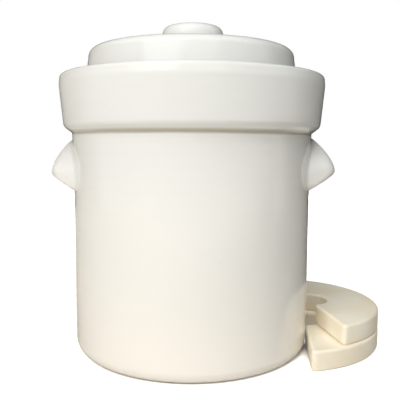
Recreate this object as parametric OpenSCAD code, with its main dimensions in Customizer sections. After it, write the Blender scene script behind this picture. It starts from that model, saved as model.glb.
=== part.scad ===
// Fermentation crock: a stoneware jar with a water gutter round its neck, two lug handles,
// a cap lid that stands in the gutter, and a pair of weight stones stacked beside it.
// Millimetres. The origin is the centre of the base and +Z is up.
// The handles lie along X, and the stones stand on the same table at the +X side.

/* [Body] */
// Outer diameter of the straight wall
body_d = 250; // [220:1:290]
// Height of the wall up to the crease under the collar
body_h = 229; // [190:1:280]
// How far the wall leans out just below the crease, on the radius
body_flare = 1.6; // [0.5:0.1:4]
// Height over which the wall leans out
flare_h = 65; // [40:1:110]
// Thickness of the wall
wall_t = 9.5; // [7:0.5:13]
// Thickness of the floor
floor_t = 12; // [8:0.5:18]
// Thickness of the shoulder under the gutter
shoulder_t = 10; // [7:0.5:14]
// Rounding of the foot's outer edge
foot_round = 13; // [4:0.5:16]
// Rounding inside, where the wall meets the floor and the shoulder
inner_round = 14; // [6:1:24]

/* [Collar and gutter] */
// Height of the collar from the crease to the rim
collar_h = 58.5; // [50:0.5:72]
// How far the collar's lower edge stands out past the wall
collar_step = 8.5; // [5:0.5:12]
// Height of the collar's sloping underside
collar_slope_h = 6.5; // [5:0.5:11]
// How far the collar leans out from its lower edge to the rim, on the radius
collar_flare = 4; // [0:0.1:6]
// Thickness of the collar's wall
collar_t = 10.5; // [9:0.5:14]
// Rounding of the rim's outer edge
rim_round = 4.5; // [3:0.5:8]
// Rounding of the collar's lower edge
collar_round = 8; // [2:0.5:9]
// Thickness of the gutter's floor
gutter_floor_t = 11; // [8:0.5:15]
// Width of the water gutter at its floor, from the neck to the collar
gutter_w = 30; // [26:0.5:36]
// Rounding between the gutter's floor and the collar's wall
gutter_round = 5; // [2:0.5:6]
// Thickness of the neck's wall
neck_t = 8.5; // [6:0.5:11]
// How far the neck's edge stays below the rim
neck_drop = 3.5; // [0:0.5:8]

/* [Lid] */
// Clearance between the neck and the lid's skirt
skirt_gap = 8.5; // [5:0.5:10]
// Thickness of the lid's skirt
lid_t = 7; // [6:0.5:10]
// Thickness of the lid's top
lid_top_t = 9; // [7:0.5:12]
// Height of the lid's shoulder above the rim
lid_rise = 28; // [24:0.5:45]
// How far the lid's side leans in from the rim to the shoulder, on the radius
lid_lean = 3.5; // [0:0.5:8]
// Rounding of the lid's shoulder
lid_round = 9.5; // [6:0.5:15]
// How far the lid's top rises from its shoulder to the knob
lid_crown = 1.5; // [0.5:0.5:4]
// Radius of the two gas notches in the skirt's lower edge
gas_notch_r = 4; // [2:0.5:6]

/* [Knob] */
// Diameter of the knob
knob_d = 63.5; // [54:0.5:80]
// Height of the knob above its seat on the lid
knob_h = 24; // [22:0.5:34]
// Thickness of the knob's disc
knob_disc_t = 16; // [15:0.5:18]
// Rounding of the knob's upper edge
knob_round = 7.8; // [4:0.2:10]
// Diameter of the knob's waist
knob_waist_d = 46; // [34:1:48]
// Diameter of the knob's foot
knob_foot_d = 53; // [50:1:60]

/* [Handles] */
// How far a handle's ridge stands out from the wall
handle_reach = 24.5; // [18:0.5:36]
// Width of a handle's root along the wall
handle_w = 124; // [90:1:140]
// Distance from the crease down to a handle's upper end
handle_drop = 4; // [1:0.5:12]
// Height from a handle's ridge up to its upper end
handle_rise = 36; // [24:1:44]
// Height from a handle's ridge down to its lower end
handle_fall = 20; // [16:0.5:36]

/* [Weight stones] */
// Play between the lower stone's round side and the inside of the wall
lower_play = 6.5; // [4:0.5:20]
// Play between the upper stone's round side and the inside of the wall
upper_play = 12; // [4:0.5:20]
// Distance from the centre of a stone's round side to its straight side
stone_flat = 28.5; // [5:0.5:34]
// Radius of the finger notch in the middle of the straight side
notch_r = 22.2; // [16:0.2:30]
// Thickness of a stone
stone_t = 20.6; // [14:0.1:26]
// Rounding of a stone's edges
stone_round = 3; // [1:0.5:5]
// Space between the wall and the lower stone's straight side
lower_space = 1.4; // [0.5:0.1:20]
// Shift of the lower stone along its straight side
lower_shift = 28; // [-30:0.5:30]
// Turn of the lower stone about the crock's axis, in degrees
lower_turn = -6; // [-20:0.5:20]
// Space between the wall and the upper stone's straight side
upper_space = 11; // [0.5:0.1:20]
// Shift of the upper stone along its straight side
upper_shift = -0.5; // [-30:0.5:30]
// Turn of the upper stone about the crock's axis, in degrees
upper_turn = 10; // [-20:0.5:20]

/* [Clearances] */
// Gap in the joints where one clay piece is luted to another
seam = 0.2; // [0.15:0.05:0.4]

/* [Hidden] */
$fn = 128;

glaze_colour = "#F4F0E6";
knob_colour = "#F6F3EA";
stone_colour = "#F0E4C9";

// Straight pieces in each rounded corner, and in the lean of the wall
corner_steps = 8;
flare_steps = 6;

// Share of a wall's thickness that each half of its rounded edge takes
edge_share = 0.45;
// Flat that stays on top of the rim between its two roundings
rim_flat = 0.5;
// Small rounding of an edge that shows little
small_round = 2;

// Radii and heights of the jar
body_r = body_d / 2;
body_top_r = body_r + body_flare;
inner_r = body_r - wall_t;
shoulder_under_z = body_h - shoulder_t;

// Radii and heights of the collar, the gutter and the neck
rim_z = body_h + collar_h;
collar_low_r = body_top_r + collar_step;
collar_low_z = body_h + collar_slope_h;
collar_top_r = collar_low_r + collar_flare;
gutter_floor_z = body_h + gutter_floor_t;
gutter_out_r = collar_r_at(gutter_floor_z) - collar_t;
neck_out_r = gutter_out_r - gutter_w;
neck_in_r = neck_out_r - neck_t;
neck_top_z = rim_z - neck_drop;
rim_inner_round = max(0, collar_t - rim_round - rim_flat);

// Radii and heights of the lid
skirt_in_r = neck_out_r + skirt_gap;
skirt_out_r = skirt_in_r + lid_t;
lid_shoulder_z = rim_z + lid_rise;
lid_shoulder_r = skirt_out_r - lid_lean;
lid_under_z = lid_shoulder_z - lid_top_t;
lid_under_r = lid_shoulder_r - lid_t;
knob_seat_z = lid_shoulder_z + lid_crown;
knob_foot_r = knob_foot_d / 2;
// Flat ring of the lid that stays free round the knob's foot
seat_margin = 3;

// Handles: heights, and the bulge of their section and root line above and below the ridge
ridge_z = body_h - handle_drop - handle_rise;
handle_upper_bulge = 1.5;
handle_lower_bulge = 1.25;
root_upper_bulge = 1.7;
root_lower_bulge = 6.5;
// Cove along a handle's root, and the flat side that rises from it to the rounded ridge
cove_w = 10;
cove_slope = 0.22;
side_slope = 0.8;
ridge_soft = 7;
handle_rings = 22;
handle_sides = 24;

// Weight stones: the round sides clear the inside of the wall
lower_r = inner_r - lower_play;
upper_r = inner_r - upper_play;

// Outer radius of the wall at a height
function body_r_at(z) =
  body_r + body_flare * pow(max(0, z - body_h + flare_h) / flare_h, 2);

// Outer radius of the collar at a height
function collar_r_at(z) =
  collar_low_r + collar_flare * (z - collar_low_z) / (rim_z - collar_low_z);

function unit(v) = v / norm(v);

// Points that round the corner b of the line a, b, c
function corner(a, b, c, r) =
  let (u = unit(a - b), v = unit(c - b), half = acos(u * v) / 2)
  let (centre = b + unit(u + v) * r / sin(half), start = b + u * r / tan(half) - centre)
  let (first = atan2(start.y, start.x), sweep = (180 - 2 * half) * sign(cross(v, u)))
  [for (i = [0:corner_steps])
    let (angle = first + sweep * i / corner_steps)
    centre + r * [cos(angle), sin(angle)]];

// Outline through points [x, y, rounding]
function rounded(p) = [
  for (i = [0:len(p) - 1])
    let (a = p[(i + len(p) - 1) % len(p)], b = p[i], c = p[(i + 1) % len(p)])
    each b.z > 0
      ? corner([a.x, a.y], [b.x, b.y], [c.x, c.y], b.z)
      : [[b.x, b.y]]
];

// Jar with its floor, wall, shoulder and neck
module crock_body() {
  wall_lean = [
    for (i = [0:flare_steps])
      let (z = body_h - flare_h + flare_h * i / flare_steps)
      [body_r_at(z), z, 0]
  ];
  color(glaze_colour)
    rotate_extrude()
      polygon(rounded(concat(
        [[0, 0, 0], [body_r, 0, foot_round]],
        wall_lean,
        [
          [neck_out_r, body_h, 0],
          [neck_out_r, neck_top_z, neck_t * edge_share],
          [neck_in_r, neck_top_z, neck_t * edge_share],
          [neck_in_r, shoulder_under_z, small_round],
          [inner_r, shoulder_under_z, inner_round],
          [inner_r, floor_t, inner_round],
          [0, floor_t, 0]
        ]
      )));
}

// Collar ring with the gutter's floor, luted on the shoulder round the neck
module water_gutter() {
  ring_in_r = neck_out_r + seam;
  color(glaze_colour)
    rotate_extrude()
      polygon(rounded([
        [ring_in_r, body_h, 0],
        [body_top_r, body_h, 0],
        [collar_low_r, collar_low_z, collar_round],
        [collar_top_r, rim_z, rim_round],
        [collar_top_r - collar_t, rim_z, rim_inner_round],
        [gutter_out_r, gutter_floor_z, gutter_round],
        [ring_in_r, gutter_floor_z, 0]
      ]));
}

// How far a height lies from the handle's ridge: 0 at the ridge, 1 at either end
function handle_share(z) =
  z >= ridge_z ? (z - ridge_z) / handle_rise : (ridge_z - z) / handle_fall;

// How far the handle stands out from the wall at a height, in its middle
function handle_out(z) =
  handle_reach * (1 - pow(handle_share(z), z >= ridge_z ? handle_upper_bulge : handle_lower_bulge));

// Half of the width of the handle's root at a height, along the wall
function root_half_w(z) =
  let (bulge = z >= ridge_z ? root_upper_bulge : root_lower_bulge)
  handle_w / 2 * pow(1 - pow(handle_share(z), bulge), 1 / bulge);

// The smaller of two values, eased where they cross
function eased_min(a, b, ease) =
  let (share = max(0, min(1, 0.5 + 0.5 * (b - a) / ease)))
  b * (1 - share) + a * share - ease * share * (1 - share);

// How far the handle stands out at a height: side runs from -1 to 1 across its root
function handle_lift(z, side) =
  let (from_root = root_half_w(z) * (1 - abs(side)))
  let (out = handle_out(z), ease = ridge_soft * out / handle_reach)
  let (flank = max(cove_slope * from_root, side_slope * (from_root - cove_w)))
  eased_min(out, flank, ease);

// Point of the handle at a height, outside or against the wall
function handle_point(z, side, outside) =
  let (angle = side * root_half_w(z) / body_r * 180 / PI)
  let (r = body_r_at(z) + seam + (outside ? handle_lift(z, side) : 0))
  [r * cos(angle), r * sin(angle), z];

// Lug handle at the +X side, built from level rings between its two ends
module handle_solid() {
  heights = [
    for (i = [1:handle_rings - 1])
      let (c = -cos(180 * i / handle_rings))
      ridge_z + c * (c >= 0 ? handle_rise : handle_fall)
  ];
  ring_points = [
    for (z = heights)
      each concat(
        [for (j = [0:handle_sides]) handle_point(z, 2 * j / handle_sides - 1, true)],
        [for (j = [handle_sides - 1:-1:1]) handle_point(z, 2 * j / handle_sides - 1, false)]
      )
  ];
  ring = 2 * handle_sides;
  low_end = len(ring_points);
  high_end = low_end + 1;
  last_ring = ring * (len(heights) - 1);
  ends = [
    for (z = [ridge_z - handle_fall, ridge_z + handle_rise])
      [body_r_at(z) + seam, 0, z]
  ];
  side_faces = [
    for (i = [0:len(heights) - 2], j = [0:ring - 1], half = [0, 1])
      let (a = ring * i + j, b = ring * i + (j + 1) % ring)
      half == 0 ? [a, b + ring, a + ring] : [a, b, b + ring]
  ];
  end_faces = [
    for (j = [0:ring - 1])
      let (next = (j + 1) % ring)
      each [[low_end, next, j], [high_end, last_ring + j, last_ring + next]]
  ];
  polyhedron(concat(ring_points, ends), concat(side_faces, end_faces));
}

module handle_left() {
  color(glaze_colour)
    mirror([1, 0, 0])
      handle_solid();
}

module handle_right() {
  color(glaze_colour)
    handle_solid();
}

// Cap lid: its skirt stands on the gutter's floor, round the neck
module lid() {
  seat_r = knob_foot_r + seat_margin;
  color(glaze_colour)
    difference() {
      rotate_extrude()
        polygon(rounded([
          [skirt_in_r, gutter_floor_z, small_round],
          [skirt_out_r, gutter_floor_z, small_round],
          [skirt_out_r, rim_z, 0],
          [lid_shoulder_r, lid_shoulder_z, lid_round],
          [seat_r, knob_seat_z, 0],
          [0, knob_seat_z, 0],
          [0, lid_under_z, 0],
          [lid_under_r, lid_under_z, lid_round - small_round],
          [skirt_in_r, rim_z, 0]
        ]));
      translate([0, 0, gutter_floor_z])
        rotate([90, 0, 0])
          cylinder(r = gas_notch_r, h = 3 * skirt_out_r, center = true);
    }
}

// Button knob, luted on the lid's flat seat
module lid_knob() {
  knob_r = knob_d / 2;
  knob_top_z = knob_seat_z + knob_h;
  disc_under_z = knob_top_z - knob_disc_t;
  color(knob_colour)
    rotate_extrude()
      polygon(rounded([
        [0, knob_seat_z, 0],
        [knob_foot_r, knob_seat_z, 0],
        [knob_waist_d / 2, disc_under_z, 2 * small_round],
        [knob_r, disc_under_z + small_round, 2 * small_round],
        [knob_r, knob_top_z, knob_round],
        [0, knob_top_z, 0]
      ]));
}

// Weight stone: a flat disc cut straight, with a finger notch and eased edges.
// The centre of its round side is the origin, and it lies at the +X side of its straight side.
module weight_stone(stone_r) {
  reach = 2 * stone_r;
  difference() {
    intersection() {
      rotate_extrude()
        polygon(rounded([
          [0, 0, 0],
          [stone_r, 0, stone_round],
          [stone_r, stone_t, stone_round],
          [0, stone_t, 0]
        ]));
      rotate([90, 0, 0])
        linear_extrude(height = 2 * reach, center = true)
          polygon(rounded([
            [stone_flat, 0, stone_round],
            [reach, 0, 0],
            [reach, stone_t, 0],
            [stone_flat, stone_t, stone_round]
          ]));
    }
    translate([stone_flat, 0, 0])
      finger_notch();
  }
}

// Room that a finger notch takes out of a stone, wider at both faces to ease their edges
module finger_notch() {
  mouth_r = notch_r + stone_round;
  rotate_extrude()
    polygon(concat(
      [[0, -stone_round], [mouth_r, -stone_round]],
      corner([mouth_r, 0], [notch_r, 0], [notch_r, stone_t], stone_round),
      corner([notch_r, 0], [notch_r, stone_t], [mouth_r, stone_t], stone_round),
      [[mouth_r, stone_t + stone_round], [0, stone_t + stone_round]]
    ));
}

// Stands a stone beside the crock, with its straight side facing the wall
module stand_stone(stone_r, turn, space, shift, z) {
  rotate(turn)
    translate([body_r + space - stone_flat, shift, z])
      weight_stone(stone_r);
}

module weight_stone_lower() {
  color(stone_colour)
    stand_stone(lower_r, lower_turn, lower_space, lower_shift, 0);
}

module weight_stone_upper() {
  color(stone_colour)
    stand_stone(upper_r, upper_turn, upper_space, upper_shift, stone_t);
}

crock_body();
water_gutter();
handle_left();
handle_right();
lid();
lid_knob();
weight_stone_lower();
weight_stone_upper();
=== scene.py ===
import math

import bpy
from mathutils import Matrix, Vector, noise
from mathutils.geometry import tessellate_polygon


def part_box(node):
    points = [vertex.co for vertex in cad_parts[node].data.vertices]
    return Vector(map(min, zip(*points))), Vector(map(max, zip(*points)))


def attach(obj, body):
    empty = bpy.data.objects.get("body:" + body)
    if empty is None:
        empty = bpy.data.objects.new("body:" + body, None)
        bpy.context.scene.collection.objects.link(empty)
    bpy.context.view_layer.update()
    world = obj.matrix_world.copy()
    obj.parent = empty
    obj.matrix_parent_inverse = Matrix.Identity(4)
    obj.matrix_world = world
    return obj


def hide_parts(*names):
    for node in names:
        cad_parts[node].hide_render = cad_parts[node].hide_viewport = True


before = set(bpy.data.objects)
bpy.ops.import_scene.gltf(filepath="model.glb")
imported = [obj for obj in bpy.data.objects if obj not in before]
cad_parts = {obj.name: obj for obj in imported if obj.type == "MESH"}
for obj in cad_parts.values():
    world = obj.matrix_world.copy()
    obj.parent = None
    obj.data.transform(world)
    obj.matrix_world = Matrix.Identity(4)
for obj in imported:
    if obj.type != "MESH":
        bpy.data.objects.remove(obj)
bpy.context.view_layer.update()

MM = 0.001

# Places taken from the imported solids
BODY_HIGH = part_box("crock_body")[1]
GUTTER_LOW, GUTTER_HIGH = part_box("water_gutter")
LID_LOW, LID_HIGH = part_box("lid")
KNOB_LOW, KNOB_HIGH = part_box("lid_knob")
HANDLE_LOW, HANDLE_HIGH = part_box("handle_right")
STONE_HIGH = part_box("weight_stone_lower")[1]

# Jar
BODY_R = 125 * MM
BODY_TOP_R = BODY_HIGH.x
CREASE_Z = GUTTER_LOW.z
FLARE_H = 65 * MM
FLARE_STEPS = 12
WALL = 9.5 * MM
FLOOR = 12 * MM
SHOULDER = 10 * MM
SHOULDER_EDGE = 2 * MM
INNER_ROUND = 14 * MM
FOOT_ROUND = 13 * MM
FOOT_RING = 30 * MM
FOOT_RECESS = 2 * MM
FOOT_EDGE = 1 * MM
NECK_TOP_Z = BODY_HIGH.z
NECK_WALL = 8.5 * MM
NECK_EDGE = 0.45 * NECK_WALL

# Collar and gutter
RIM_Z = GUTTER_HIGH.z
COLLAR_STEP = 8.5 * MM
COLLAR_SLOPE_H = 6.5 * MM
COLLAR_ROUND = 8 * MM
COLLAR_FLARE = 4 * MM
COLLAR_WALL = 10.5 * MM
GUTTER_FLOOR_Z = LID_LOW.z
GUTTER_W = 30 * MM
GUTTER_ROUND = 5 * MM
COLLAR_LOW_R = BODY_TOP_R + COLLAR_STEP
COLLAR_LOW_Z = CREASE_Z + COLLAR_SLOPE_H
COLLAR_TOP_R = COLLAR_LOW_R + COLLAR_FLARE
COLLAR_LEAN = COLLAR_FLARE / (RIM_Z - COLLAR_LOW_Z)
GUTTER_OUT_R = COLLAR_LOW_R + COLLAR_LEAN * (GUTTER_FLOOR_Z - COLLAR_LOW_Z) - COLLAR_WALL
NECK_OUT_R = GUTTER_OUT_R - GUTTER_W
NECK_IN_R = NECK_OUT_R - NECK_WALL

# Rim: its uppermost stretch leans in, with a slow bend below and round edges
RIM_BREAK = 10 * MM
RIM_LEAN = 1.0 * MM
RIM_BEND = 40 * MM
RIM_OUTER_ROUND = 4.5 * MM
RIM_INNER_ROUND = 5.5 * MM

# Glaze pooled in the crease under the collar: how far it runs down the wall, its hollow and its ends
POOL_H = 2.5 * MM
POOL_ROUND = 3 * MM
POOL_PROUD = 0.1 * MM
POOL_SINK = 0.4 * MM
POOL_LAP = 2 * MM

# Lid and knob. The lid stands a little to the left in its gutter, and the knob to the right on it
LID_R = LID_HIGH.x
LID_WALL = 7 * MM
LID_TOP = 9 * MM
LID_LEAN = 3.5 * MM
LID_ROUND = 9.5 * MM
LID_INNER_ROUND = LID_ROUND - 2 * MM
LID_CROWN = 1.5 * MM
LID_SHOULDER_Z = LID_HIGH.z - LID_CROWN
LID_ASIDE = -0.8 * MM
SKIRT_EDGE = 2 * MM
GAS_NOTCH_R = 4 * MM
GAS_NOTCH_ANGLES = (90, 270)
KNOB_GROWN = 0.4 * MM
KNOB_R = KNOB_HIGH.x + KNOB_GROWN
KNOB_ASIDE = 0.4 * MM
KNOB_ROUND = 7.8 * MM
KNOB_DISC = 16 * MM
KNOB_UNDERCUT = 2 * MM
KNOB_FILLET = 4 * MM
KNOB_WAIST_R = 23 * MM
KNOB_FOOT_R = 26.5 * MM
KNOB_SEAT = 3 * MM
KNOB_WANDER = 0.2 * MM

# Handles: the form of the solids, with a smooth cove along the root and a steeper flank
HANDLE_W = 124 * MM
HANDLE_RISE = 36 * MM
HANDLE_FALL = 20 * MM
RIDGE_Z = HANDLE_LOW.z + HANDLE_FALL
HANDLE_UPPER = 1.45
HANDLE_LOWER = 1.15
TIP = 0.15
ROOT_UPPER = 1.7
ROOT_LOWER = 6.5
COVE_W = 9.4 * MM
COVE_SLOPE = 0.22
SIDE_SLOPE = 1.2
COVE_EASE = 1.2 * MM
COVE_START = 4 * MM
RIDGE_SOFT = 7 * MM
ROOT_SINK = 2 * MM
HANDLE_BACK = 4 * MM
HANDLE_ROWS = 72
STRIP_STEPS = 14
FACE_STEPS = 40

# Weight stones. The straight side lies STONE_FLAT from the centre of the round side
LOWER_STONE_R = BODY_R - WALL - 6.5 * MM
UPPER_STONE_R = BODY_R - WALL - 12 * MM
STONE_FLAT = 28.5 * MM
STONE_T = STONE_HIGH.z
NOTCH_R = 22.2 * MM
STONE_EDGE = 3 * MM
STONE_EDGE_FLAT = 0.6 * MM
STONE_EDGE_STEPS = 6
STONE_FOOT = 2.5 * MM
STONE_CORNER = 4 * MM
STONE_CORNER_ROOM = 1.6 * STONE_CORNER
NOTCH_CORNER = 5 * MM
NOTCH_CORNER_ROOM = 1.3 * NOTCH_CORNER
STONE_ARC_STEPS = 64
STONE_WAVE = 0.35 * MM
STONE_WAVE_SCALE = 22
STONE_WAVE_RISE = 30

# Hand-made unevenness: rings left by throwing and a slow wander of the wall, both fading at the axis
RING_PITCH = 11 * MM
RING_DEPTH = 0.07 * MM
RING_DRIFT = 2.5
RING_DRIFT_SCALE = 40
RING_DRIFT_ROW = 2.0
WANDER = 0.35 * MM
WANDER_SCALE = 14
WANDER_R = 0.12
AXIS_FADE = 40 * MM

# Camera fitted to the photograph: place in metres, pitch and roll in degrees
CAMERA_PLACE = (9.35 * MM, -604.3 * MM, 216.6 * MM)
CAMERA_PITCH = 5.659
CAMERA_ROLL = 0.26
CAMERA_SHIFT_PX = 0.5
FOCAL_PX = 555.13
IMAGE_PX = 400
SENSOR_MM = 36


# Outlines

ARC_STEPS = 14
STEP = 3.5 * MM


def corner(a, b, c, radius):
    """Points that round the corner b of the line a, b, c."""
    u = (a - b).normalized()
    v = (c - b).normalized()
    half = u.angle(v) / 2
    centre = b + (u + v).normalized() * radius / math.sin(half)
    first = b + u * radius / math.tan(half) - centre
    last = b + v * radius / math.tan(half) - centre
    start = math.atan2(first.y, first.x)
    sweep = math.atan2(first.x * last.y - first.y * last.x, first.dot(last))
    angles = [start + sweep * i / ARC_STEPS for i in range(ARC_STEPS + 1)]
    return [centre + radius * Vector((math.cos(t), math.sin(t))) for t in angles]


def rounded(points):
    """Outline through points (x, y, rounding)."""
    flat = [Vector(p[:2]) for p in points]
    outline = []
    for i, point in enumerate(points):
        a, b, c = flat[i - 1], flat[i], flat[(i + 1) % len(flat)]
        outline += corner(a, b, c, point[2]) if point[2] > 0 else [b]
    return outline


def stepped(outline, closed):
    """The outline with no stretch longer than STEP."""
    result = []
    for i, a in enumerate(outline):
        result.append(a)
        if not closed and i == len(outline) - 1:
            break
        b = outline[(i + 1) % len(outline)]
        count = math.ceil((b - a).length / STEP)
        result += [a.lerp(b, k / count) for k in range(1, count)]
    return result


# Meshes. Steps round a turned piece, and finer ones in degrees round its notches

TURN_STEPS = 224
NOTCH_SPAN = 4.0
NOTCH_STEP = 0.25
AXIS_R = 1e-6


def turn_angles(finer_at):
    """Angles round a turned piece, in degrees, with finer steps round some of them."""
    angles = {360 * i / TURN_STEPS for i in range(TURN_STEPS)}
    for middle in finer_at:
        angles = {a for a in angles if abs(a - middle) > NOTCH_SPAN}
        count = round(2 * NOTCH_SPAN / NOTCH_STEP)
        angles |= {middle - NOTCH_SPAN + NOTCH_STEP * i for i in range(count + 1)}
    return sorted(angles)


def make_object(name, verts, faces):
    """A smooth mesh object in the row frame."""
    mesh = bpy.data.meshes.new(name)
    mesh.from_pydata(verts, [], faces)
    mesh.validate()
    mesh.shade_smooth()
    obj = bpy.data.objects.new(name, mesh)
    bpy.context.scene.collection.objects.link(obj)
    return obj


def turned(name, outline, closed, shape, finer_at=()):
    """Turns an outline of (radius, height) about Z. An open outline starts and ends on the axis.
    shape(radius, angle, height) gives the point of the hand-made form."""
    angles = [math.radians(a) for a in turn_angles(finer_at)]
    count = len(angles)
    verts = []
    rings = []
    for p in stepped(outline, closed):
        spots = angles[:1] if p.x < AXIS_R else angles
        rings.append([len(verts) + k for k in range(len(spots))])
        verts += [shape(p.x, a, p.y) for a in spots]
    faces = []
    pairs = zip(rings, rings[1:] + rings[:1]) if closed else zip(rings, rings[1:])
    for low, high in pairs:
        for k in range(count):
            after = (k + 1) % count
            if len(low) == 1:
                faces.append((low[0], high[after], high[k]))
            elif len(high) == 1:
                faces.append((low[k], low[after], high[0]))
            else:
                faces.append((low[k], low[after], high[after], high[k]))
    return make_object(name, verts, faces)


def thrown(seed, ring_depth=RING_DEPTH, wander=WANDER, aside=0.0):
    """A shape function for turned pieces with hand-made unevenness, moved aside in X."""

    def shape(radius, angle, height):
        around = Vector((math.cos(angle), math.sin(angle), 0))
        place = around * WANDER_R * WANDER_SCALE + Vector((0, 0, height * WANDER_SCALE + seed))
        drift = noise.noise(Vector((seed, RING_DRIFT_ROW, height * RING_DRIFT_SCALE)))
        ring = math.sin(2 * math.pi * height / RING_PITCH + RING_DRIFT * drift)
        fade = min(1.0, radius / AXIS_FADE)
        radius += fade * (wander * noise.noise(place) + ring_depth * ring)
        return (aside + radius * around.x, radius * around.y, height)

    return shape


# Materials


def srgb(red, green, blue):
    """Linear colour of an sRGB colour given from 0 to 255."""

    def linear(value):
        value /= 255
        return value / 12.92 if value <= 0.04045 else ((value + 0.055) / 1.055) ** 2.4

    return (linear(red), linear(green), linear(blue), 1.0)


class Graph:
    """A material's nodes, made and linked in one line each."""

    def __init__(self, name):
        self.material = bpy.data.materials.new(name)
        self.material.use_nodes = True
        self.nodes = self.material.node_tree.nodes
        self.links = self.material.node_tree.links
        self.shader = self.nodes["Principled BSDF"]
        self.place = self.add("ShaderNodeTexCoord").outputs["Object"]

    def add(self, kind, inputs=None, **settings):
        """A new node, with its inputs by name or number."""
        made = self.nodes.new(kind)
        for key, value in settings.items():
            setattr(made, key, value)
        for key, value in (inputs or {}).items():
            self.set(made.inputs[key], value)
        return made

    def set(self, socket, value):
        """Links a socket to another one, or gives it a constant."""
        if isinstance(value, bpy.types.NodeSocket):
            self.links.new(value, socket)
        else:
            socket.default_value = value

    def along(self, axis):
        """Place along X, Y or Z in the row frame."""
        return self.add("ShaderNodeSeparateXYZ", {0: self.place}).outputs[axis]

    def noise(self, scale, detail=2.0):
        inputs = {"Vector": self.place, "Scale": scale, "Detail": detail}
        return self.add("ShaderNodeTexNoise", inputs).outputs["Fac"]

    def remap(self, value, low, high, to_low=0.0, to_high=1.0, smooth=True):
        inputs = {"Value": value, "From Min": low, "From Max": high, "To Min": to_low, "To Max": to_high}
        style = "SMOOTHSTEP" if smooth else "LINEAR"
        return self.add("ShaderNodeMapRange", inputs, interpolation_type=style).outputs["Result"]

    def math(self, operation, a, b=0.0):
        return self.add("ShaderNodeMath", {0: a, 1: b}, operation=operation).outputs[0]

    def mix(self, share, a, b):
        """Colour a, or b where the share is 1."""
        made = self.add("ShaderNodeMix", data_type="RGBA")
        self.set(made.inputs["Factor"], share)
        self.set(made.inputs["A"], a)
        self.set(made.inputs["B"], b)
        return made.outputs["Result"]

    def specks(self, scale, size, share):
        """Mask of small round spots, on a share of the cells."""
        cells = self.add("ShaderNodeTexVoronoi", {"Vector": self.place, "Scale": scale})
        spot = self.remap(cells.outputs["Distance"], size * 0.5, size, 1.0, 0.0)
        draw = self.add("ShaderNodeSeparateColor", {"Color": cells.outputs["Color"]}).outputs["Red"]
        return self.math("MULTIPLY", spot, self.math("LESS_THAN", draw, share))

    def bump(self, height, distance, strength, under=None):
        """Normal of a bumpy surface, on top of the normal under it."""
        inputs = {"Height": height, "Distance": distance, "Strength": strength}
        if under is not None:
            inputs["Normal"] = under
        return self.add("ShaderNodeBump", inputs).outputs["Normal"]

    def finish(self, inputs):
        """Sets the shader's inputs by name and gives the material."""
        for key, value in inputs.items():
            self.set(self.shader.inputs[key], value)
        return self.material


WHITE = (1.0, 1.0, 1.0, 1.0)
BLACK = (0.0, 0.0, 0.0, 1.0)
# Painted shade: the glaze colour darker and greyer towards the top
GLAZE_TOP_SHADE = srgb(233, 234, 231)
GLAZE_BODY = srgb(244, 242, 237)
GLAZE_COOL = srgb(241, 240, 235)
# Warmer towards the foot: partly thinner glaze, partly a painted warm reflection of the table
GLAZE_FOOT_AND_REFLECTION = srgb(251, 247, 239)
GLAZE_SPECK = srgb(212, 205, 190)
# Brownish band along the bottom of the foot
FOOT_BAND = srgb(196, 178, 148)
# Painted shade for the crease under the collar
CREASE_SHADE = srgb(192, 185, 170)
STONE_CREAM = srgb(251, 240, 217)
STONE_PALE = srgb(254, 247, 229)
STONE_PORE = srgb(186, 168, 134)

# Heights between which a tone sets in: painted shade towards the top, a warmer foot. The crease's painted
# shade goes by the distance from its middle
TOP_TONE = (130 * MM, 250 * MM)
FOOT_TONE = (130 * MM, 5 * MM)
FOOT_BAND_HEIGHTS = (2.6 * MM, 1.8 * MM)
FOOT_BAND_WAVE = 1.5 * MM
CREASE_MIDDLE_Z = CREASE_Z + 0.3 * MM
CREASE_REACH = (3.5 * MM, 0.3 * MM)


def crock_tints(g, colour, height):
    """Warmer towards the foot, partly thinner glaze and partly a painted warm reflection, painted shade in
    the crease and a brownish band along the bottom of the foot.
    """
    # Warmer towards the foot: partly thinner glaze, partly a painted warm reflection of the table
    colour = g.mix(g.remap(height, *FOOT_TONE), colour, GLAZE_FOOT_AND_REFLECTION)
    near = g.math("ABSOLUTE", g.math("SUBTRACT", height, CREASE_MIDDLE_Z))
    # Painted shade in the crease under the collar, darkest at its middle
    colour = g.mix(g.remap(near, *CREASE_REACH), colour, CREASE_SHADE)
    edge = g.math("ADD", height, g.math("MULTIPLY", g.noise(scale=60), FOOT_BAND_WAVE))
    # A brownish band along the bottom of the foot, with a wavy upper line
    return g.mix(g.remap(edge, *FOOT_BAND_HEIGHTS), colour, FOOT_BAND)


def glaze(name, on_crock):
    """Glossy warm white glaze with slow mottling, a few iron specks and a fine uneven skin."""
    g = Graph(name)
    height = g.along("Z")
    mottle = g.remap(g.noise(scale=9, detail=1), 0.2, 0.8)
    # Greyer towards the top of the crock and on the lid: painted shade
    colour = g.mix(g.remap(height, *TOP_TONE), g.mix(mottle, GLAZE_BODY, GLAZE_COOL), GLAZE_TOP_SHADE)
    if on_crock:
        colour = crock_tints(g, colour, height)
    specks = g.specks(scale=150, size=0.07, share=0.05)
    skin = g.bump(g.noise(scale=420), distance=0.05 * MM, strength=0.25)
    skin = g.bump(g.noise(scale=55), distance=0.25 * MM, strength=0.08, under=skin)
    return g.finish(
        {
            "Base Color": g.mix(specks, colour, GLAZE_SPECK),
            "Roughness": g.remap(g.noise(scale=30, detail=1), 0.2, 0.8, to_low=0.42, to_high=0.5),
            "Normal": skin,
            "Specular IOR Level": 0.15,
            "Coat Weight": 1.0,
            "Coat Roughness": 0.03,
            "Coat Normal": g.bump(g.noise(scale=26, detail=1), distance=0.5 * MM, strength=0.12),
        }
    )


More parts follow.
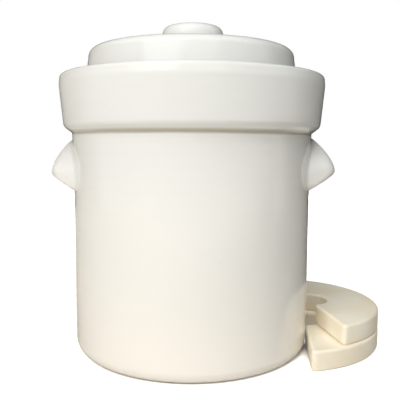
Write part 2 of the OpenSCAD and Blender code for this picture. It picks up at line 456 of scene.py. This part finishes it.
def stone_clay(name):
    """Smooth cream stoneware with a satin skin, pale clouds and fine pores."""
    g = Graph(name)
    cloud = g.remap(g.noise(scale=28, detail=4), 0.35, 0.65)
    pores = g.specks(scale=240, size=0.09, share=0.12)
    skin = g.bump(g.noise(scale=300, detail=3), distance=0.08 * MM, strength=0.3)
    skin = g.bump(g.noise(scale=38), distance=0.6 * MM, strength=0.25, under=skin)
    return g.finish(
        {
            "Base Color": g.mix(pores, g.mix(cloud, STONE_CREAM, STONE_PALE), STONE_PORE),
            "Roughness": g.remap(g.noise(scale=45, detail=3), 0.3, 0.7, to_low=0.4, to_high=0.55),
            "Normal": skin,
            "Coat Weight": 0.15,
            "Coat Roughness": 0.25,
        }
    )


# Pieces


def fit(obj, node, body, material):
    """Puts a piece in the place of a CAD node, on its body, with its material."""
    obj.data.materials.append(material)
    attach(obj, body)
    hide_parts(node)


def body_r_at(z):
    """Outer radius of the wall at a height."""
    lean = max(0.0, z - CREASE_Z + FLARE_H) / FLARE_H
    return BODY_R + (BODY_TOP_R - BODY_R) * lean**2


def make_crock_body():
    """The jar: foot ring, wall with a flare under the collar, shoulder, neck and inside."""
    ring_in = BODY_R - FOOT_RING
    inner = BODY_R - WALL
    under = CREASE_Z - SHOULDER
    heights = [CREASE_Z - FLARE_H * (1 - i / FLARE_STEPS) for i in range(FLARE_STEPS + 1)]
    foot = [
        (0, FOOT_RECESS, 0),
        (ring_in, FOOT_RECESS, FOOT_EDGE),
        (ring_in + FOOT_RECESS, 0, FOOT_EDGE),
        (BODY_R, 0, FOOT_ROUND),
    ]
    wall = [(body_r_at(z), z, 0) for z in heights]
    neck = [
        (NECK_OUT_R, CREASE_Z, 0),
        (NECK_OUT_R, NECK_TOP_Z, NECK_EDGE),
        (NECK_IN_R, NECK_TOP_Z, NECK_EDGE),
        (NECK_IN_R, under, SHOULDER_EDGE),
    ]
    inside = [(inner, under, INNER_ROUND), (inner, FLOOR, INNER_ROUND), (0, FLOOR, 0)]
    return turned("crock_jar", rounded(foot + wall + neck + inside), False, thrown(seed=1.7))


def make_water_gutter():
    """The collar ring, from the crease up its outside, over the rim and down to the gutter's floor."""
    outline = rounded(
        [
            (NECK_OUT_R, CREASE_Z, 0),
            (BODY_TOP_R - POOL_LAP, CREASE_Z, 0),
            (body_r_at(CREASE_Z - POOL_H) - POOL_SINK, CREASE_Z - POOL_H, 0),
            (BODY_TOP_R + POOL_PROUD, CREASE_Z, POOL_ROUND),
            (COLLAR_LOW_R, COLLAR_LOW_Z, COLLAR_ROUND),
            (COLLAR_TOP_R, RIM_Z - RIM_BREAK, RIM_BEND),
            (COLLAR_TOP_R - RIM_LEAN, RIM_Z, RIM_OUTER_ROUND),
            (COLLAR_TOP_R - COLLAR_WALL, RIM_Z, RIM_INNER_ROUND),
            (GUTTER_OUT_R, GUTTER_FLOOR_Z, GUTTER_ROUND),
            (NECK_OUT_R, GUTTER_FLOOR_Z, 0),
        ]
    )
    return turned("gutter_collar", outline, True, thrown(seed=5.2))


def make_lid():
    """The cap, with two gas notches in the lower edge of its skirt."""
    shoulder_r = LID_R - LID_LEAN
    outline = rounded(
        [
            (0, LID_SHOULDER_Z - LID_TOP, 0),
            (shoulder_r - LID_WALL, LID_SHOULDER_Z - LID_TOP, LID_INNER_ROUND),
            (LID_R - LID_WALL, RIM_Z, 0),
            (LID_R - LID_WALL, GUTTER_FLOOR_Z, SKIRT_EDGE),
            (LID_R, GUTTER_FLOOR_Z, SKIRT_EDGE),
            (LID_R, RIM_Z, 0),
            (shoulder_r, LID_SHOULDER_Z, LID_ROUND),
            (KNOB_FOOT_R + KNOB_SEAT, LID_HIGH.z, 0),
            (0, LID_HIGH.z, 0),
        ]
    )
    plain = thrown(seed=9.1, aside=LID_ASIDE)

    def notched(radius, angle, height):
        x, y, z = plain(radius, angle, height)
        open_w = GAS_NOTCH_R**2 - x**2
        if height < RIM_Z and open_w > 0:
            z = max(z, GUTTER_FLOOR_Z + math.sqrt(open_w))
        return (x, y, z)

    return turned("lid_cap", outline, False, notched, GAS_NOTCH_ANGLES)


def make_knob():
    """The button: a foot on the lid, a waist and a round disc."""
    under = KNOB_HIGH.z - KNOB_DISC
    outline = rounded(
        [
            (0, KNOB_LOW.z, 0),
            (KNOB_FOOT_R, KNOB_LOW.z, 0),
            (KNOB_WAIST_R, under, KNOB_FILLET),
            (KNOB_R, under + KNOB_UNDERCUT, KNOB_FILLET),
            (KNOB_R, KNOB_HIGH.z, KNOB_ROUND),
            (0, KNOB_HIGH.z, 0),
        ]
    )
    shape = thrown(seed=3.3, ring_depth=0.0, wander=KNOB_WANDER, aside=KNOB_ASIDE)
    return turned("lid_button", outline, False, shape)


def eased_min(a, b, ease):
    """The smaller of two values, eased where they cross."""
    share = max(0.0, min(1.0, 0.5 + 0.5 * (b - a) / ease))
    return b * (1 - share) + a * share - ease * share * (1 - share)


def handle_lift(from_root, out, reach):
    """How far a handle stands out, at a distance from its root line."""
    cove = COVE_SLOPE * from_root
    if from_root > 0:
        cove = COVE_SLOPE * (math.hypot(from_root, COVE_START) - COVE_START)
    flank = -eased_min(-cove, -SIDE_SLOPE * (from_root - COVE_W), COVE_EASE)
    return eased_min(out, flank, RIDGE_SOFT * out / reach)


def tipped(far, power):
    """far to a power, with a round tip at 0."""
    return (far**2 + TIP**2) ** (power / 2) - TIP**power


def handle_row(share, reach):
    """Points (distance along the wall, lift) across a handle. share is -1 at its lower end, 0 at its
    ridge and 1 at its upper end."""
    far = abs(share)
    power, bulge = (HANDLE_UPPER, ROOT_UPPER) if share > 0 else (HANDLE_LOWER, ROOT_LOWER)
    out = reach * (1 - tipped(far, power) / tipped(1.0, power))
    half_w = HANDLE_W / 2 * (1 - far**bulge) ** (1 / bulge)
    kink = min(COVE_W * SIDE_SLOPE / (SIDE_SLOPE - COVE_SLOPE), half_w / 2)
    steps = [-ROOT_SINK + (kink + ROOT_SINK) * i / STRIP_STEPS for i in range(STRIP_STEPS)]
    steps += [kink + (half_w - kink) * i / FACE_STEPS for i in range(FACE_STEPS)]
    half = [(half_w - d, handle_lift(d, out, reach)) for d in steps]
    return [(-s, lift) for s, lift in half] + [(0.0, out)] + half[::-1]


def handle_faces(width):
    """Faces of a front and a back grid of HANDLE_ROWS rows, joined along their border."""
    back = HANDLE_ROWS * width
    faces = []
    for i in range(HANDLE_ROWS - 1):
        for j in range(width - 1):
            a = i * width + j
            quad = (a, a + 1, a + width + 1, a + width)
            faces.append(quad)
            faces.append(tuple(back + k for k in reversed(quad)))
    border = list(range(width))
    border += [i * width + width - 1 for i in range(1, HANDLE_ROWS)]
    border += [(HANDLE_ROWS - 1) * width + j for j in range(width - 2, -1, -1)]
    border += [i * width for i in range(HANDLE_ROWS - 2, 0, -1)]
    for a, b in zip(border, border[1:] + border[:1]):
        faces.append((b, a, back + a, back + b))
    return faces


def make_handle(name, sign, longer, higher, deeper):
    """A lug with a cove along its root. sign is 1 at the +X side and -1 at the other.
    longer, higher and deeper tell this lug from the solids, which are a matching pair."""
    reach = HANDLE_HIGH.x - body_r_at(RIDGE_Z) + longer
    shares = [-math.cos(math.pi * (i + 0.5) / HANDLE_ROWS) for i in range(HANDLE_ROWS)]
    verts = []
    for on_back in (False, True):
        for i, share in enumerate(shares):
            z = RIDGE_Z + higher + share * (HANDLE_RISE if share > 0 else HANDLE_FALL + deeper)
            for s, lift in handle_row(share, reach):
                if i in (0, HANDLE_ROWS - 1):
                    lift = min(lift, -COVE_SLOPE * ROOT_SINK)
                r = body_r_at(z) + (-HANDLE_BACK if on_back else lift)
                verts.append((sign * r * math.cos(s / BODY_R), r * math.sin(s / BODY_R), z))
    faces = handle_faces(len(verts) // (2 * HANDLE_ROWS))
    if sign < 0:
        faces = [tuple(reversed(face)) for face in faces]
    return make_object(name, verts, faces)


def stone_outline(stone_r):
    """Plan of a stone: round side, straight side and finger notch, with rounded corners.
    The round side's centre is the origin and the straight side faces -X."""

    def arc(middle, radius, start, end, steps):
        turns = [start + (end - start) * i / steps for i in range(steps + 1)]
        return [(middle + radius * math.cos(t), radius * math.sin(t), 0) for t in turns]

    spread = math.acos(STONE_FLAT / stone_r)
    half_round = spread - STONE_CORNER_ROOM / stone_r
    half_straight = stone_r * math.sin(spread)
    half_notch = math.pi / 2 - NOTCH_CORNER_ROOM / NOTCH_R
    points = arc(0, stone_r, -half_round, half_round, STONE_ARC_STEPS)
    points += [(STONE_FLAT, half_straight, STONE_CORNER), (STONE_FLAT, NOTCH_R, NOTCH_CORNER)]
    points += arc(STONE_FLAT, NOTCH_R, half_notch, -half_notch, STONE_ARC_STEPS // 2)
    points += [(STONE_FLAT, -NOTCH_R, NOTCH_CORNER), (STONE_FLAT, -half_straight, STONE_CORNER)]
    return stepped(rounded(points), True)


def stone_levels():
    """Pairs (inset, height) up the side of a stone, with its foot and upper edge eased."""
    flat = STONE_EDGE + STONE_EDGE_FLAT
    levels = [(flat, 0.0)]
    quarter = [math.pi / 2 * i / STONE_EDGE_STEPS for i in range(STONE_EDGE_STEPS + 1)]
    for t in quarter:
        levels.append((STONE_FOOT * (1 - math.sin(t)), STONE_FOOT * (1 - math.cos(t))))
    for t in quarter:
        levels.append((STONE_EDGE * (1 - math.cos(t)), STONE_T - STONE_EDGE * (1 - math.sin(t))))
    return levels + [(flat, STONE_T)]


def make_stone(name, stone_r, turn, space, shift, base_z, seed):
    """A stone with eased edges and slightly uneven sides. It stands at a space from the wall, shifted
    along it, and turned about the crock's axis in degrees."""
    outline = stone_outline(stone_r)
    count = len(outline)
    inward = []
    for i in range(count):
        along = (outline[(i + 1) % count] - outline[i - 1]).normalized()
        inward.append(Vector((-along.y, along.x)))
    levels = stone_levels()
    cos = math.cos(math.radians(turn))
    sin = math.sin(math.radians(turn))
    centre = BODY_R + space - STONE_FLAT
    verts = []
    for inset, z in levels:
        for p, n in zip(outline, inward):
            q = p + n * inset
            spot = (q.x * STONE_WAVE_SCALE + seed, q.y * STONE_WAVE_SCALE, z * STONE_WAVE_RISE)
            q = q + n * noise.noise(Vector(spot)) * STONE_WAVE
            x, y = centre + q.x, shift + q.y
            verts.append((cos * x - sin * y, sin * x + cos * y, base_z + z))
    faces = []
    for k in range(len(levels) - 1):
        low, high = k * count, (k + 1) * count
        for i in range(count):
            after = (i + 1) % count
            faces.append((low + i, low + after, high + after, high + i))
    inner = [(p + n * levels[0][0]).to_3d() for p, n in zip(outline, inward)]
    top = (len(levels) - 1) * count
    for a, b, c in tessellate_polygon([inner]):
        if (inner[b] - inner[a]).cross(inner[c] - inner[a]).z < 0:
            b, c = c, b
        faces += [(a, c, b), (top + a, top + b, top + c)]
    return make_object(name, verts, faces)


def make_pieces():
    """All eight pieces, each in the place of its solid."""
    crock_glaze = glaze("crock_glaze", on_crock=True)
    lid_glaze = glaze("lid_glaze", on_crock=False)
    stone_skin = stone_clay("stone_clay")
    fit(make_crock_body(), "crock_body", "crock", crock_glaze)
    fit(make_water_gutter(), "water_gutter", "crock", crock_glaze)
    left = make_handle("lug_left", -1, longer=-2.3 * MM, higher=-0.7 * MM, deeper=-1.7 * MM)
    fit(left, "handle_left", "crock", crock_glaze)
    right = make_handle("lug_right", 1, longer=1.0 * MM, higher=1.7 * MM, deeper=0.3 * MM)
    fit(right, "handle_right", "crock", crock_glaze)
    fit(make_lid(), "lid", "lid", lid_glaze)
    fit(make_knob(), "lid_knob", "lid", lid_glaze)
    lower = make_stone(
        "stone_below", LOWER_STONE_R, turn=-6, space=0.6 * MM, shift=28 * MM, base_z=0.0, seed=3.0
    )
    fit(lower, "weight_stone_lower", "stone_lower", stone_skin)
    upper = make_stone(
        "stone_above", UPPER_STONE_R, turn=10, space=10 * MM, shift=-0.5 * MM, base_z=STONE_T, seed=8.0
    )
    fit(upper, "weight_stone_upper", "stone_upper", stone_skin)


# Stage: a floor and a room that look white. The floor's glow grows to white with the distance from
# the crock, and goes out where little of the room is open above the floor, as in a narrow gap

FLOOR_SIZE = 12.0
FLOOR_SHADE = (0.85, 0.82, 0.77, 1.0)
FLOOR_GLOW = 0.8
GLOW_FADE = (0.3, 1.0)
GAP_REACH = 50 * MM
GAP_OPEN = (0.06, 0.25)
GAP_SAMPLES = 16
ROOM_LIGHT = 0.05


def seen_rays(nodes, links):
    """1 for camera, glossy and transmission rays, 0 for the rest."""
    path = nodes.new("ShaderNodeLightPath")
    total = path.outputs["Is Camera Ray"]
    for ray in ("Is Glossy Ray", "Is Transmission Ray"):
        join = nodes.new("ShaderNodeMath")
        join.operation = "MAXIMUM"
        links.new(total, join.inputs[0])
        links.new(path.outputs[ray], join.inputs[1])
        total = join.outputs[0]
    return total


def floor_white():
    """Pale floor that keeps its shadows and glows white for the rays that are seen."""
    g = Graph("floor_white")
    far = g.add("ShaderNodeVectorMath", {0: g.place}, operation="LENGTH").outputs["Value"]
    glow = g.math("MULTIPLY", seen_rays(g.nodes, g.links), g.remap(far, *GLOW_FADE, FLOOR_GLOW, 1.0))
    gap = g.add("ShaderNodeAmbientOcclusion", {"Distance": GAP_REACH}, samples=GAP_SAMPLES)
    return g.finish(
        {
            "Base Color": FLOOR_SHADE,
            "Roughness": 1.0,
            "Specular IOR Level": 0.0,
            "Emission Color": WHITE,
            "Emission Strength": g.math("MULTIPLY", glow, g.remap(gap.outputs["AO"], *GAP_OPEN)),
        }
    )


def make_floor():
    half = FLOOR_SIZE / 2
    verts = [(-half, -half, 0), (half, -half, 0), (half, half, 0), (-half, half, 0)]
    floor = make_object("floor", verts, [(0, 1, 2, 3)])
    floor.data.materials.append(floor_white())


def make_world():
    """A dim white room, at full white for the rays that are seen."""
    world = bpy.data.worlds.new("white_room")
    world.use_nodes = True
    bpy.context.scene.world = world
    nodes, links = world.node_tree.nodes, world.node_tree.links
    level = nodes.new("ShaderNodeMapRange")
    level.inputs["To Min"].default_value = ROOM_LIGHT
    level.inputs["To Max"].default_value = 1.0
    links.new(seen_rays(nodes, links), level.inputs["Value"])
    nodes["Background"].inputs["Color"].default_value = WHITE
    links.new(level.outputs["Result"], nodes["Background"].inputs["Strength"])


# Surround that only reflections show: a round table, and a card with a ceiling behind the object.
# Its levels are shares of white, and it fades from the left to the right, to the back and to the front

SURROUND_COLOUR = (1.0, 0.9, 0.74, 1.0)
TABLE_LEFT = 0.65
CARD_LEFT = 0.5
SURROUND_RIGHT = 0.06
SURROUND_BACK = 0.1
TABLE_R = 5.5
CARD_R = 1.4
CARD_H = 1.5
CARD_FRONT_Y = -0.28
SIDE_FADE = (-0.4, 0.4)
BACK_FADE = (1.05, 1.3)
TABLE_FRONT_FADE = (-0.2, -1.2)
CARD_FRONT_FADE = (0.35, CARD_FRONT_Y)
SURROUND_STEPS = 64
SURROUND_LIFT = 0.5 * MM


def surround_grey(name, left_level, front_fade):
    """Warm grey that turns into the white of the room at the front."""
    g = Graph(name)
    side = g.remap(g.along("X"), *SIDE_FADE, left_level, SURROUND_RIGHT)
    level = g.math("MULTIPLY", side, g.remap(g.along("Y"), *BACK_FADE, 1.0, SURROUND_BACK))
    front = g.remap(g.along("Y"), *front_fade)
    return g.finish(
        {
            "Base Color": BLACK,
            "Specular IOR Level": 0.0,
            "Emission Color": g.mix(front, SURROUND_COLOUR, WHITE),
            "Emission Strength": g.remap(front, 0.0, 1.0, level, 1.0, smooth=False),
        }
    )


def only_reflected(obj, material):
    """Stage that neither the camera nor the light on the object sees."""
    obj.data.materials.append(material)
    obj.visible_camera = False
    obj.visible_diffuse = False
    obj.visible_shadow = False


def make_surround():
    """Table, card and ceiling, which darken the glaze towards its outline."""
    turns = [2 * math.pi * i / SURROUND_STEPS for i in range(SURROUND_STEPS)]
    verts = [(TABLE_R * math.cos(a), TABLE_R * math.sin(a), SURROUND_LIFT) for a in turns]
    table = make_object("surround_table", verts, [tuple(range(SURROUND_STEPS))])
    only_reflected(table, surround_grey("table_grey", TABLE_LEFT, TABLE_FRONT_FADE))
    verts = [(0.0, CARD_FRONT_Y, CARD_H)]
    faces = []
    for i, a in enumerate(turns):
        x, y = CARD_R * math.cos(a), CARD_R * math.sin(a)
        verts += [(x, y, SURROUND_LIFT), (x, y, CARD_H)]
        low, after = 2 * i + 1, 2 * ((i + 1) % SURROUND_STEPS) + 1
        if y > CARD_FRONT_Y:
            faces += [(low, low + 1, after + 1, after), (0, low + 1, after + 1)]
    card = make_object("surround_card", verts, faces)
    only_reflected(card, surround_grey("card_grey", CARD_LEFT, CARD_FRONT_FADE))


# Light and camera

LAMP_AIM = (0.0, 0.0, 0.25)
DAYLIGHT = (1.0, 0.995, 0.99)
COOL_LIGHT = (0.95, 0.98, 1.0)
WARM_LIGHT = (1.0, 0.95, 0.86)


def area_lamp(name, azimuth, elevation, distance, width, height, watts, colour, mirrored=True):
    """A soft lamp aimed at the crock. Azimuth 0 is at the camera's side and grows to the right."""
    data = bpy.data.lights.new(name, "AREA")
    data.shape = "RECTANGLE"
    data.size = width
    data.size_y = height
    data.energy = watts
    data.color = colour
    lamp = bpy.data.objects.new(name, data)
    turn, lift = math.radians(azimuth), math.radians(elevation)
    way = Vector((math.cos(lift) * math.sin(turn), -math.cos(lift) * math.cos(turn), math.sin(lift)))
    lamp.location = Vector(LAMP_AIM) + way * distance
    lamp.rotation_euler = (-way).to_track_quat("-Z", "Y").to_euler()
    lamp.visible_glossy = mirrored
    bpy.context.scene.collection.objects.link(lamp)


def make_lights():
    """Two windows that the glaze mirrors, and soft lamps that it doesn't. Each has its azimuth and
    elevation in degrees, its distance, width and height in metres, and its watts."""
    area_lamp("window_left", -29.5, 36, 1.9, 1.39, 1.7, 13.5, DAYLIGHT)
    area_lamp("window_right", 12, 36, 1.9, 1.0, 1.7, 4.0, DAYLIGHT)
    area_lamp("soft_left", -28, 39, 1.8, 0.9, 0.9, 6.0, DAYLIGHT, mirrored=False)
    area_lamp("soft_top", 45, 70, 1.6, 0.9, 0.9, 11.5, COOL_LIGHT, mirrored=False)
    area_lamp("soft_low", -34, 2, 1.7, 0.8, 0.45, 5.5, WARM_LIGHT, mirrored=False)
    area_lamp("soft_right", 50, 8, 1.7, 0.8, 0.45, 1.2, WARM_LIGHT, mirrored=False)
    area_lamp("soft_back", 180, 3, 1.9, 1.2, 0.45, 9.0, DAYLIGHT, mirrored=False)


def make_camera():
    data = bpy.data.cameras.new("camera")
    data.sensor_width = SENSOR_MM
    data.lens = FOCAL_PX / IMAGE_PX * SENSOR_MM
    data.shift_x = -CAMERA_SHIFT_PX / IMAGE_PX
    data.shift_y = CAMERA_SHIFT_PX / IMAGE_PX
    camera = bpy.data.objects.new("camera", data)
    pitch = Matrix.Rotation(math.radians(90 - CAMERA_PITCH), 4, "X")
    roll = Matrix.Rotation(math.radians(CAMERA_ROLL), 4, "Z")
    camera.matrix_world = Matrix.Translation(CAMERA_PLACE) @ pitch @ roll
    bpy.context.scene.collection.objects.link(camera)
    bpy.context.scene.camera = camera


make_pieces()
make_floor()
make_surround()
make_world()
make_lights()
make_camera()
bpy.context.scene.view_settings.view_transform = "Standard"
